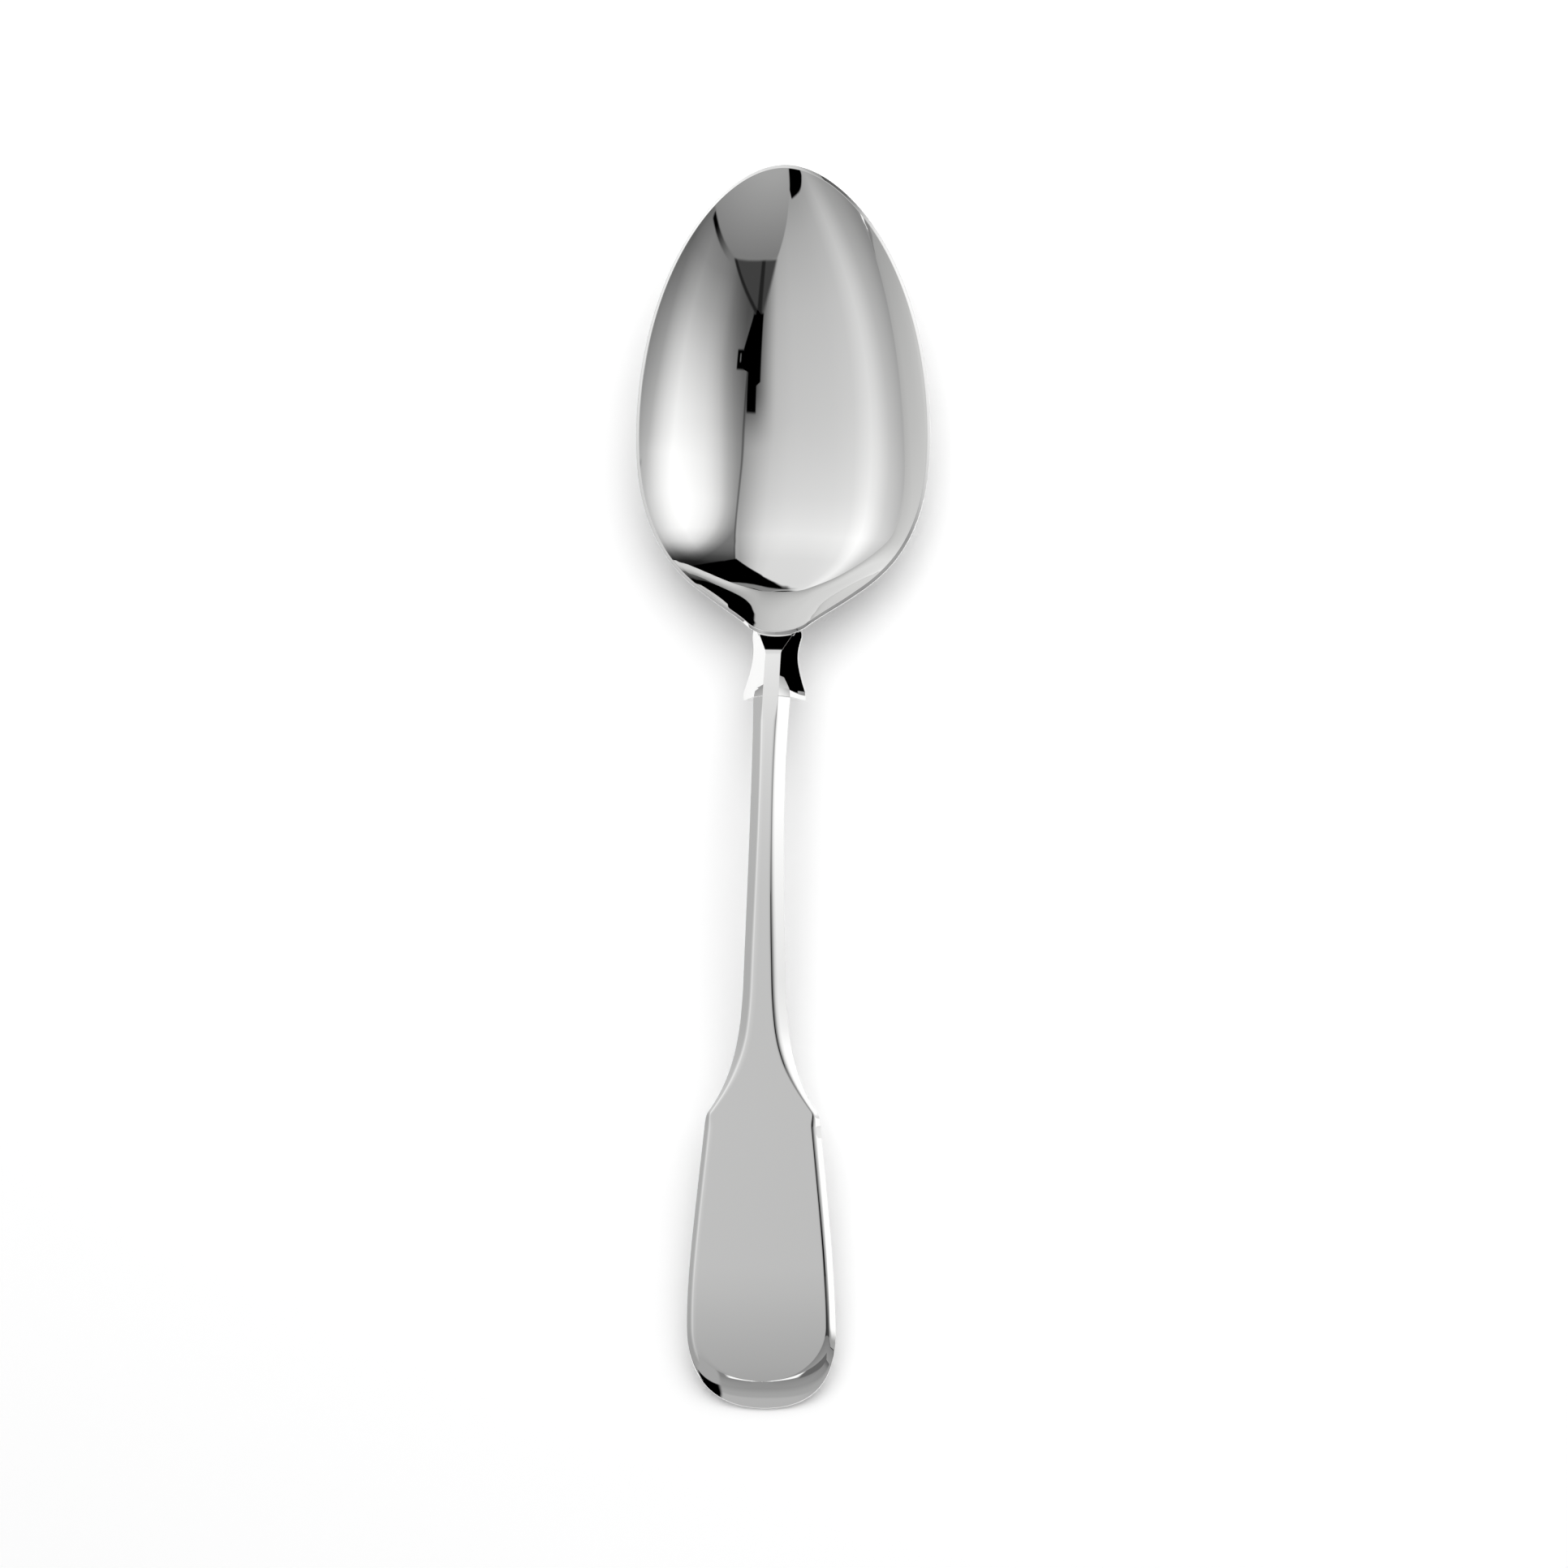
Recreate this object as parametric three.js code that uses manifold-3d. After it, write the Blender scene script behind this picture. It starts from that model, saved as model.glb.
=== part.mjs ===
// A polished table spoon in the fiddle form: an egg-shaped bowl, a neck with two flared
// shoulders, a bevelled stem and a broad bevelled blade whose end is turned down.
// Millimetres. The spoon lies on its back along Y, with the bowl's tip at +Y and the table at Z 0.
import * as THREE from "three";
import Module from "manifold-3d";

// Bowl: its rim seen from above, its depth below the plane of the rim, and its wall
const bowlLength = 79.9;
const bowlWidth = 50.4;
const widestFromNeck = 34.5;
const bowlDepth = 11;
const bowlWall = 1.5;
const rimLand = 0.7;
const rimEdge = 0.7;
const wallSteepness = 0.25;
const bowlPitch = 9;

// The hollow is an ellipse at its pole and takes the rim's shape on the way out. Towards the lip it is
// shorter and squarer than the rim, and runs out in a short spout. A larger fade keeps closer to the rim.
const rimFade = 2;
const spoutLength = 4;
const spoutFade = 6;
const baseSquareness = 0.3;

// The rim draws in at two shoulders, then sweeps up to a narrow rounded lip over the neck
const rimShoulderWidth = 26.6;
const rimShoulderReach = 7.9;
const lipWidth = 10.8;
const lipReach = 2;
const lipLift = 6.6;
const lipSweep = 17;
const lipFade = 8;

// Neck: its top stands above the lip and slopes down to it, its sides flare to two ears
const neckLength = 11.1;
const neckWidth = 7.8;
const neckFlat = 2.6;
const neckRise = 2.1;
const neckSlopeLength = 3.3;
const neckThickness = 5.6;
const neckBevelAngle = 47;
const lipStep = 0.2;
const earWidth = 10.7;
const earChamfer = 1.4;
const earChamferFall = 0.7;
const earFacetLength = 2.4;
const earFacetWidth = 1.6;
const earFacetFall = 1.35;

// Stem, and the flare that leads from it to the blade
const stemLength = 48;
const stemWidth = 6.4;
const stemWaist = 5.9;
const stemEndWidth = 7.2;
const stemThickness = 4.1;
const stemBevel = 1.85;
const stemArch = 0.21;
const flareLength = 22.4;
const flareWidth = 18.4;

// Blade: a flat face with narrow bevels that bends down before its rounded end
const shoulderLength = 2.8;
const shoulderWidth = 19.9;
const shoulderBevel = 0.65;
const bladeLength = 33.4;
const bladeWidth = 25.4;
const bladeThickness = 2.7;
const bladeBevel = 1.15;
const bladeSlope = 0.13;
const bendLead = 10;
const endLength = 12.6;
const endBevel = 4.6;
const endBulge = 0.4;
const endEdge = 0.5;
const endSlope = 0.5;

// All along the handle. The ridge is where the bevel breaks, as a share of its width
const bevelAngle = 35.5;
const ridgeShare = 0.94;
const backEdge = 0.8;
const backCrown = 0.45;

// The rounded drop on the back, where the handle laps under the bowl
const dropLength = 12.5;
const dropWidth = 8.4;
const dropRootHeight = 3.2;
const dropTipHeight = 0.9;

// Room between the bowl and the handle that is seated on it
const seatGap = 0.3;

const bowlRings = 16;
const rimSteps = [16, 10, 6, 5];
const neckSteps = 14;
const endSteps = 16;
const silver = { color: 0xd4d4d2, roughness: 0.12, metalness: 1 };

const { lerp, clamp, smoothstep, degToRad } = THREE.MathUtils;
const point = (x, y, z) => new THREE.Vector3(x, y, z);
const bezier = (...corners) =>
  new THREE.CubicBezierCurve(...corners.map(([x, y]) => new THREE.Vector2(x, y)));

// Places along the spoon, worked out from the lengths
const handleLength = neckLength + stemLength + flareLength + shoulderLength + bladeLength + endLength;
const tipY = (bowlLength + handleLength) / 2;
const lipY = tipY - bowlLength;
const widestY = lipY + widestFromNeck;
const poleY = (tipY + lipY) / 2;
const earY = lipY - neckLength;
const stemEndY = earY - stemLength;
const flareEndY = stemEndY - flareLength;
const bladeY = flareEndY - shoulderLength;
const bladeEndY = bladeY - bladeLength;
const endY = bladeEndY - endLength;
const bevelFall = Math.tan(degToRad(bevelAngle));
const neckBevelFall = Math.tan(degToRad(neckBevelAngle));
// How far an ear's facet raises the neck's bevel beside it
const earFacetLift = earFacetWidth * neckBevelFall - earFacetFall;
const pitchSlope = Math.tan(degToRad(bowlPitch));

// A closed skin over rings that run from one end of a body to the other. Corners that fall
// together, as at a pole or along a pinched end, become one. Each patch is split the shorter way.
function skin(rings) {
  const corners = [];
  const index = [];
  const known = new Map();
  const cornerOf = (p) => {
    const key = [p.x, p.y, p.z].map((v) => v.toFixed(4)).join();
    if (!known.has(key)) {
      known.set(key, corners.length / 3);
      corners.push(p.x, p.y, p.z);
    }
    return known.get(key);
  };
  const addFace = (a, b, c) => {
    if (a !== b && b !== c && c !== a) index.push(a, b, c);
  };
  const ids = rings.map((ring) => ring.map(cornerOf));
  for (let i = 0; i + 1 < ids.length; i++) {
    const count = ids[i].length;
    for (let j = 0; j < count; j++) {
      const k = (j + 1) % count;
      const [a, b, c, d] = [ids[i][j], ids[i + 1][j], ids[i + 1][k], ids[i][k]];
      const straight = rings[i][j].distanceTo(rings[i + 1][k]);
      const crossed = rings[i + 1][j].distanceTo(rings[i][k]);
      if (straight < crossed) {
        addFace(a, b, c);
        addFace(a, c, d);
      } else {
        addFace(a, b, d);
        addFace(b, c, d);
      }
    }
  }
  const geometry = new THREE.BufferGeometry();
  geometry.setAttribute("position", new THREE.Float32BufferAttribute(corners, 3));
  geometry.setIndex(index);
  return geometry;
}

// The rim's right half from the tip to the lip, and the whole rim, which runs clockwise from above
const rimHalf = bowlWidth / 2;
const rimShoulder = [rimShoulderWidth / 2, lipY + rimShoulderReach];
const lipCorner = [lipWidth / 2, lipY + lipReach];
const rimCurves = [
  bezier([0, tipY], [0.44 * rimHalf, tipY], [rimHalf, lerp(widestY, tipY, 0.6)], [rimHalf, widestY]),
  bezier(
    [rimHalf, widestY],
    [rimHalf, lerp(widestY, rimShoulder[1], 0.42)],
    [lerp(rimShoulder[0], rimHalf, 0.77), lerp(rimShoulder[1], widestY, 0.25)],
    rimShoulder,
  ),
  bezier(
    rimShoulder,
    [lerp(rimShoulder[0], lipCorner[0], 0.41), lerp(rimShoulder[1], lipCorner[1], 0.43)],
    [lerp(rimShoulder[0], lipCorner[0], 0.74), lerp(rimShoulder[1], lipCorner[1], 0.69)],
    lipCorner,
  ),
  bezier(
    lipCorner,
    [0.8 * lipCorner[0], lerp(lipCorner[1], lipY, 0.55)],
    [0.48 * lipCorner[0], lipY],
    [0, lipY],
  ),
];
const rimRight = rimCurves.flatMap((curve, i) => curve.getPoints(rimSteps[i]).slice(i ? 1 : 0));
const rimLeft = rimRight.slice(1, -1).reverse().map((p) => new THREE.Vector2(-p.x, p.y));
const rim = [...rimRight, ...rimLeft];

// Each rim point as a ray from the bowl's pole, with the rounder outline that the hollow has near its pole
const rays = rim.map((p) => {
  const reach = Math.hypot(p.x, p.y - poleY);
  const side = p.x / reach;
  const ahead = (p.y - poleY) / reach;
  const towardsLip = Math.max(-ahead, 0) ** 1.5;
  const power = 2 + baseSquareness * towardsLip;
  const halfLength = bowlLength / 2 - spoutLength * towardsLip;
  const sidePart = (Math.abs(side) / rimHalf) ** power;
  const aheadPart = (Math.abs(ahead) / halfLength) ** power;
  const round = (sidePart + aheadPart) ** (-1 / power);
  const fade = rimFade + spoutFade * towardsLip;
  const lift = lipLift * clamp((lipY + lipSweep - p.y) / lipSweep, 0, 1) ** 2;
  return { side, ahead, reach, round, fade, lift };
});

// How far from the pole a surface is at share s of the way to the rim
const reachAt = (s, round, reach, fade) => s * (round + (reach - round) * s ** fade);

// Height of a bowl surface over the plane of its rim at the pole, at share s of the way to the rim
function bowlHeight(s, y, lift, depth) {
  const profile = (1 - wallSteepness) * s ** 2 + wallSteepness * s ** 4;
  return pitchSlope * (y - poleY) - depth * (1 - profile) + lift * s ** lipFade;
}

// The rings of a bowl surface from its pole to its rim, with the rim moved out and down
function bowlSurface(depth, out, down) {
  const shares = Array.from({ length: bowlRings + 1 }, (_, i) => i / bowlRings);
  return shares.map((s) =>
    rays.map((ray) => {
      const reach = reachAt(s, ray.round, ray.reach + out, ray.fade);
      const y = poleY + reach * ray.ahead;
      return point(reach * ray.side, y, bowlHeight(s, y, ray.lift, depth) - down);
    }),
  );
}

// The bowl's back is its lowest place, and that sets how high its rim is over the table
const backDepth = bowlDepth + bowlWall - rimEdge;
const backRings = bowlSurface(backDepth, 0, rimEdge);
const rimHeight = -Math.min(...backRings.flat().map((p) => p.z));
const raise = (ring) => ring.map((p) => point(p.x, p.y, p.z + rimHeight));
const lipHeight = rimHeight + bowlHeight(1, lipY, lipLift, 0);

// Height of the bowl's back over the table at a place in plan
function backHeight(x, y) {
  const far = Math.hypot(x, y - poleY);
  const turn = Math.atan2(Math.abs(x), poleY - y);
  const turns = rays.map((ray) => Math.atan2(Math.abs(ray.side), -ray.ahead));
  const after = turns.slice(0, rimRight.length).findLastIndex((angle) => angle >= turn);
  const next = Math.min(after + 1, rimRight.length - 1);
  const share = after === next ? 0 : (turns[after] - turn) / (turns[after] - turns[next]);
  const mix = (name) => lerp(rays[after][name], rays[next][name], share);
  let low = 0;
  let high = 1;
  for (let i = 0; i < 40; i++) {
    const s = (low + high) / 2;
    if (reachAt(s, mix("round"), mix("reach"), mix("fade")) < far) low = s;
    else high = s;
  }
  return rimHeight + bowlHeight(low, y, mix("lift"), backDepth) - rimEdge;
}

// Bowl: the back from its pole out to the rim, up the rim's edge, over its land, and the inside to its pole
const rimTop = backRings.at(-1).map((p) => point(p.x, p.y, p.z + rimEdge));
const insideRings = bowlSurface(bowlDepth, -rimLand, 0);
const bowlShape = skin([...backRings, rimTop, ...insideRings.reverse()].map(raise));

// What the handle keeps clear of: the bowl's back moved out by the gap, filled up to well over the spoon
const clearRings = bowlSurface(backDepth, seatGap, rimEdge + seatGap * Math.SQRT2).map(raise);
const clearTop = clearRings.at(-1).map((p) => point(p.x, p.y, tipY));
const clearPole = clearTop.map(() => point(0, poleY, tipY));
const clearShape = skin([...clearRings, clearTop, clearPole]);

// The middle line of the handle's top: an arch from the neck, a straight blade and a bend down to the end
const neckTopY = lipY - neckSlopeLength;
const neckTop = lipHeight + neckRise;
const lipHalf = 1.11 * (neckWidth / 2);
const lipEdge = neckTop - stemArch * neckSlopeLength - (lipHalf - neckFlat / 2) * neckBevelFall;
const bendY = bladeEndY + bendLead;
const bend = (endSlope - bladeSlope) / (2 * (bendY - endY));
const restRun = bendY - endY - backEdge;
const bendTop = bladeThickness + bladeSlope * restRun + bend * restRun ** 2;
const flareTop = bendTop + bladeSlope * (flareEndY - bendY);
const archRun = (neckTopY - flareEndY) / 3;
const arch = bezier(
  [neckTopY, neckTop],
  [neckTopY - archRun, neckTop + stemArch * archRun],
  [flareEndY + archRun, flareTop + bladeSlope * archRun],
  [flareEndY, flareTop],
);

function archHeight(y) {
  let low = 0;
  let high = 1;
  for (let i = 0; i < 40; i++) {
    const middle = (low + high) / 2;
    if (arch.getPoint(middle).x > y) low = middle;
    else high = middle;
  }
  return arch.getPoint(low).y;
}

// The top without the scoop behind the lip, and how deep the scoop is
function levelAt(y) {
  if (y > neckTopY) return neckTop - stemArch * (y - neckTopY);
  if (y > flareEndY) return archHeight(y);
  return bendTop + bladeSlope * (y - bendY) - bend * Math.max(bendY - y, 0) ** 2;
}

const scoopSlope = (neckRise + lipStep) / neckSlopeLength - stemArch;
const scoopAt = (y) => scoopSlope * Math.max(y - neckTopY, 0);
const topHeight = (y) => levelAt(y) - scoopAt(y);

// Thickness from the top down to the back: thickest at the neck, even along the blade
function thicknessAt(y) {
  const blade = lerp(bladeThickness, stemThickness, smoothstep(y, flareEndY, stemEndY));
  return lerp(blade, neckThickness, smoothstep(y, earY - stemLength / 3, neckTopY));
}

// How far the back bulges in its middle: rounded along the stem, flat on the blade
const crownAt = (y) => backCrown * smoothstep(y, flareEndY, stemEndY);

// One ring of the handle. Its right half is the top's middle, the crease, a place on the bevel,
// the edge, then the back: a side, a corner and the middle.
function ringOf({ crease, bevel, edge, backCorner, crown }) {
  const side = edge.clone().lerp(backCorner, 0.3);
  side.z = lerp(edge.z, backCorner.z, 0.55);
  const backMiddle = point(0, backCorner.y, backCorner.z - crown);
  const half = [point(0, crease.y, crease.z), crease, bevel, edge, side, backCorner, backMiddle];
  const left = half.slice(1, -1).reverse().map((p) => point(-p.x, p.y, p.z));
  return [...half, ...left];
}

// Stem, flare and blade: the edge is an outline, and the crease and the back's corner lie inside it.
// Each stretch holds its first bevel for a share of its length, then goes over to its second. The stem
// starts square to the ears: its sections turn with the outline only after a share of its length.
const stemHalf = stemWidth / 2;
const flareHalf = flareWidth / 2;
const shoulderHalf = shoulderWidth / 2;
const bladeHalf = bladeWidth / 2;
const sides = [
  {
    outline: bezier(
      [stemHalf, earY],
      [0.4 * stemWaist + 0.03 * stemWidth, lerp(earY, stemEndY, 0.3)],
      [0.5 * stemWaist + 0.03 * stemWidth, lerp(earY, stemEndY, 0.7)],
      [stemEndWidth / 2, stemEndY],
    ),
    steps: 10,
    bevels: [stemBevel, stemBevel],
    hold: 0,
    square: 0.2,
  },
  {
    outline: bezier(
      [stemEndWidth / 2, stemEndY],
      [lerp(stemEndWidth / 2, flareHalf, 0.05), lerp(stemEndY, flareEndY, 0.46)],
      [lerp(stemEndWidth / 2, flareHalf, 0.33), lerp(stemEndY, flareEndY, 0.77)],
      [flareHalf, flareEndY],
    ),
    steps: 12,
    bevels: [stemBevel, shoulderBevel],
    hold: 0.3,
  },
  {
    outline: bezier(
      [flareHalf, flareEndY],
      [lerp(flareHalf, shoulderHalf, 0.55), lerp(flareEndY, bladeY, 0.22)],
      [lerp(flareHalf, shoulderHalf, 0.86), lerp(flareEndY, bladeY, 0.5)],
      [shoulderHalf, bladeY],
    ),
    steps: 4,
    bevels: [shoulderBevel, bladeBevel],
    hold: 0,
  },
  {
    outline: bezier(
      [shoulderHalf, bladeY],
      [lerp(shoulderHalf, bladeHalf, 0.4), lerp(bladeY, bladeEndY, 0.33)],
      [bladeHalf, lerp(bladeY, bladeEndY, 0.72)],
      [bladeHalf, bladeEndY],
    ),
    steps: 8,
    bevels: [bladeBevel, bladeBevel],
    hold: 0,
  },
];

function sideRings({ outline, steps, bevels, hold, square }, number) {
  const rings = [];
  for (let i = number ? 1 : 0; i <= steps; i++) {
    const t = i / steps;
    const place = outline.getPoint(t);
    const along = outline.getTangent(t);
    if (square) along.x *= smoothstep(t, 0, square);
    const width = lerp(bevels[0], bevels[1], smoothstep(t, hold, 1));
    const inset = (size) => {
      const y = place.y - along.x * size;
      return point(place.x + along.y * size, y, topHeight(y));
    };
    const crease = inset(width);
    const edge = inset(0);
    edge.z -= width * bevelFall;
    const bevel = crease.clone().lerp(edge, ridgeShare);
    const backCorner = inset(backEdge);
    backCorner.z -= thicknessAt(backCorner.y) - crownAt(backCorner.y);
    rings.push(ringOf({ crease, bevel, edge, backCorner, crown: crownAt(backCorner.y) }));
  }
  return rings;
}

// The blade's rounded end: its edge, its crease and its back's corner are one curve at three sizes,
// and the bevel swells as it goes round
const endCurve = (half, y) =>
  bezier([half, bladeEndY], [half, lerp(bladeEndY, y, 0.7)], [0.63 * half, y], [0, y]);
const endOutline = endCurve(bladeHalf, endY);
const endCrease = endCurve(bladeHalf - bladeBevel, endY + endBevel);
const endBack = endCurve(bladeHalf - backEdge, endY + backEdge);

function endRing(t) {
  const placeOn = (curve) => {
    const { x, y } = curve.getPoint(t);
    return point(x, y, topHeight(y));
  };
  const rounding = smoothstep(t, 0, 1);
  const crease = placeOn(endCrease);
  const edge = placeOn(endOutline);
  const backCorner = placeOn(endBack);
  backCorner.z -= bladeThickness;
  edge.z = lerp(edge.z - bladeBevel * bevelFall, backCorner.z + endEdge, rounding);
  const bevel = crease.clone().lerp(edge, lerp(ridgeShare, 0.5, rounding));
  bevel.z += endBulge * rounding;
  return ringOf({ crease, bevel, edge, backCorner, crown: 0 });
}

// Neck: straight creases on top, bevelled sides that flare to the ears. A three-cornered facet opens
// between the crease and each ear's bevel.
const creaseHalf = stemHalf - stemBevel;
const earHalf = earWidth / 2;
const earTopY = earY + earChamfer;
const facetY = earTopY + earFacetLength;
const neckSide = bezier(
  [lipHalf, lipY],
  [0.93 * (neckWidth / 2), lerp(lipY, earTopY, 0.3)],
  [0.93 * (neckWidth / 2), lerp(lipY, earTopY, 0.5)],
  [earHalf, earTopY],
);

// The neck's bevels are planes, which the scoop cuts back towards the lip and the facets cut at the ears
function neckRing({ x, y }) {
  const slope = clamp((y - neckTopY) / neckSlopeLength, 0, 1);
  const facet = clamp((facetY - y) / earFacetLength, 0, 1);
  const flatHalf = lerp(creaseHalf, neckFlat / 2, smoothstep(y, earY, facetY));
  const top = levelAt(y);
  const crease = point(flatHalf + scoopAt(y) / neckBevelFall, y, topHeight(y));
  const bevel = point(crease.x + facet * earFacetWidth, y, crease.z - facet * earFacetFall);
  const edge = point(x, y, top - (x - flatHalf) * neckBevelFall + facet * earFacetLift);
  const backZ = lerp(top - thicknessAt(y), lipHeight - dropRootHeight, slope ** 1.5);
  const backCorner = point(x - backEdge, y, backZ + backCrown);
  return ringOf({ crease, bevel, edge, backCorner, crown: backCrown });
}

// The ear's end is a chamfer, and this is the chamfer's foot, from where a step leads in to the stem
function earEndRing() {
  const crease = point(creaseHalf, earY, topHeight(earY));
  const out = ridgeShare * stemBevel;
  const bevel = point(crease.x + out, earY, crease.z - out * bevelFall);
  const backCorner = point(earHalf - backEdge, earY, crease.z - thicknessAt(earY) + backCrown);
  const earFall = (earHalf - creaseHalf) * neckBevelFall - earFacetLift + earChamferFall;
  const edge = point(earHalf, earY, crease.z - earFall);
  return ringOf({ crease, bevel, edge, backCorner, crown: backCrown });
}

// The drop: a tongue that follows the bowl's back from the lip, where its section is still the neck's,
// turns round as it goes and ends in a low step
function dropRing(share) {
  const y = lipY + share * dropLength;
  const half = (dropWidth / 2) * Math.sqrt(1 - share ** 2);
  const height = lerp(dropTipHeight, dropRootHeight, (1 - share) ** 1.5) * Math.sqrt(1 - share ** 8);
  const low = backHeight(0, y) - height;
  const turned = smoothstep(share, 0, 0.5);
  const edge = point(half, y, Math.min(lerp(lipEdge, backHeight(half, y) + bowlWall / 2, turned), lipEdge));
  const under = (part, inset, rise) => {
    const round = point(part * half, y, lerp(edge.z, low, Math.sqrt(1 - part ** 2)));
    const square = point(Math.max(half - inset, 0), y, lerp(low + backCrown, edge.z, rise));
    return square.lerp(round, turned);
  };
  const crease = point(0.5 * half, y, backHeight(0, y) + bowlWall);
  const right = [
    point(0, y, crease.z),
    crease,
    point(0.8 * half, y, crease.z),
    edge,
    under(0.92, 0.3 * backEdge, 0.45),
    under(0.68, backEdge, 0),
    point(0, y, low),
  ];
  const left = right.slice(1, -1).reverse().map((p) => point(-p.x, p.y, p.z));
  return [...right, ...left];
}

const dropShares = [1, 0.99, 0.96, 0.9, 0.8, 0.67, 0.52, 0.36, 0.2, 0.08];
const handleRings = [
  ...dropShares.map(dropRing),
  ...neckSide.getPoints(neckSteps).map(neckRing),
  earEndRing(),
  ...sides.flatMap(sideRings),
  ...Array.from({ length: endSteps }, (_, i) => endRing((i + 1) / endSteps)),
];

const wasm = await Module();
wasm.setup();

function solidOf(geometry) {
  const vertProperties = new Float32Array(geometry.attributes.position.array);
  const triVerts = new Uint32Array(geometry.index.array);
  return new wasm.Manifold(new wasm.Mesh({ numProp: 3, vertProperties, triVerts }));
}

function geometryOf(solid) {
  const mesh = solid.getMesh();
  const geometry = new THREE.BufferGeometry();
  geometry.setAttribute("position", new THREE.BufferAttribute(mesh.vertProperties, 3));
  geometry.setIndex(new THREE.BufferAttribute(mesh.triVerts, 1));
  return geometry;
}

const handleShape = geometryOf(solidOf(skin(handleRings)).subtract(solidOf(clearShape)));

const spoon = new THREE.Group();
for (const [name, shape] of [["bowl", bowlShape], ["handle", handleShape]]) {
  const mesh = new THREE.Mesh(shape, new THREE.MeshStandardMaterial(silver));
  mesh.name = name;
  spoon.add(mesh);
}

export default spoon;
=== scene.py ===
import math

import bmesh
import bpy
from mathutils import Matrix, Vector
from mathutils.bvhtree import BVHTree


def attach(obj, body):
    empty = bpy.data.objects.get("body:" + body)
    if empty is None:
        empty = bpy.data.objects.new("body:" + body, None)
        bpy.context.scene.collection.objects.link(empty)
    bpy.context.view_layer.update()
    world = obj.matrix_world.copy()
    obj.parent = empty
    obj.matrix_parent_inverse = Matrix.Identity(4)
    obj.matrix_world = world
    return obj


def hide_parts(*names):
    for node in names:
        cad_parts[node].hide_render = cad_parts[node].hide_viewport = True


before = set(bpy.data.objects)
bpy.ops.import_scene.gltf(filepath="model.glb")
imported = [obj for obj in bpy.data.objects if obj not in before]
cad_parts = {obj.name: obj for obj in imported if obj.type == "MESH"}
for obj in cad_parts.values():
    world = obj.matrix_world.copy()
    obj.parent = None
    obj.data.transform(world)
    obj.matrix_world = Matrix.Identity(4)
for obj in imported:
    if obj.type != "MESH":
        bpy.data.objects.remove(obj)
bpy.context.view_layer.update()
scene = bpy.context.scene
mm = 0.001  # shapes are worked out in millimetres, and the meshes are in metres
tiny = 1e-6  # a length that counts as none, in metres or millimetres
print("frame loaded:", ", ".join(sorted(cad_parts)))


# Maths on node sockets

class Wire:
    def __init__(self, tree, socket):
        self.tree = tree
        self.socket = socket

    @staticmethod
    def add(tree, kind, settings=None, sockets=None, output=0):
        made = tree.nodes.new(kind)
        for name, value in (settings or {}).items():
            if name == "stops":  # of a colour ramp, as places and grey levels
                elements = made.color_ramp.elements
                for place, _ in value[1:-1]:
                    elements.new(place)
                for element, (place, level) in zip(elements, value):
                    element.position = place
                    element.color = (level, level, level, 1)
            else:
                setattr(made, name, value)
        for name, value in (sockets or {}).items():
            if isinstance(value, Wire):
                tree.links.new(value.socket, made.inputs[name])
            else:
                made.inputs[name].default_value = value
        return Wire(tree, made.outputs[output]) if made.outputs else None

    def math(self, operation, *values):
        return Wire.add(self.tree, "ShaderNodeMath", {"operation": operation}, dict(enumerate(values)))

    def atLeast(self, limit):
        return self.math("MAXIMUM", self, limit)

    def atMost(self, limit):
        return self.math("MINIMUM", self, limit)

    def __abs__(self):
        return self.math("ABSOLUTE", self)

    def __add__(self, other):
        return self.math("ADD", self, other)

    def __sub__(self, other):
        return self.math("SUBTRACT", self, other)

    def __rsub__(self, other):
        return self.math("SUBTRACT", other, self)

    def __mul__(self, other):
        return self.math("MULTIPLY", self, other)

    def __truediv__(self, other):
        return self.math("DIVIDE", self, other)

    def __rtruediv__(self, other):
        return self.math("DIVIDE", other, self)

    def __pow__(self, other):
        return self.math("POWER", self, other)

    def __mod__(self, other):
        return self.math("MODULO", self, other)

    __radd__ = __add__
    __rmul__ = __mul__


# Small shape helpers

def lerp(a, b, t):
    return a + (b - a) * t


def clamp(value):
    return max(0.0, min(1.0, value))


def ease(value, low, high):
    t = clamp((value - low) / (high - low))
    return t * t * (3 - 2 * t)


def softRamp(value, width):  # 0 below -width, the value itself above width, a smooth bend between
    if value < -width:
        return 0.0
    return value if value > width else (value + width) ** 2 / (4 * width)


def bezier(corners, t):
    a, b, c, d = (Vector(corner) for corner in corners)
    s = 1 - t
    return a * s**3 + b * (3 * s * s * t) + c * (3 * s * t * t) + d * t**3


def bezierTangent(corners, t):
    a, b, c, d = (Vector(corner) for corner in corners)
    s = 1 - t
    return ((b - a) * (s * s) + (c - b) * (2 * s * t) + (d - c) * (t * t)).normalized()


def curveBetween(start, stop, handles):  # a handle is its shares of the way across and along
    (startX, startY), (stopX, stopY) = start, stop
    between = [(lerp(startX, stopX, across), lerp(startY, stopY, along)) for across, along in handles]
    return (start, *between, stop)


def steps(count):
    return [i / count for i in range(count + 1)]


def addObject(name, data):
    made = bpy.data.objects.new(name, data)
    scene.collection.objects.link(made)
    return made


def pointsMesh(name, points, depths=None):  # loose points, with a depth for each
    mesh = bpy.data.meshes.new(name)
    mesh.from_pydata([Vector(p) * mm for p in points], [], [])
    if depths:
        layer = mesh.attributes.new("depth", "FLOAT", "POINT")
        layer.data.foreach_set("value", [depth * mm for depth in depths])
    return addObject(name, mesh)


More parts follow.
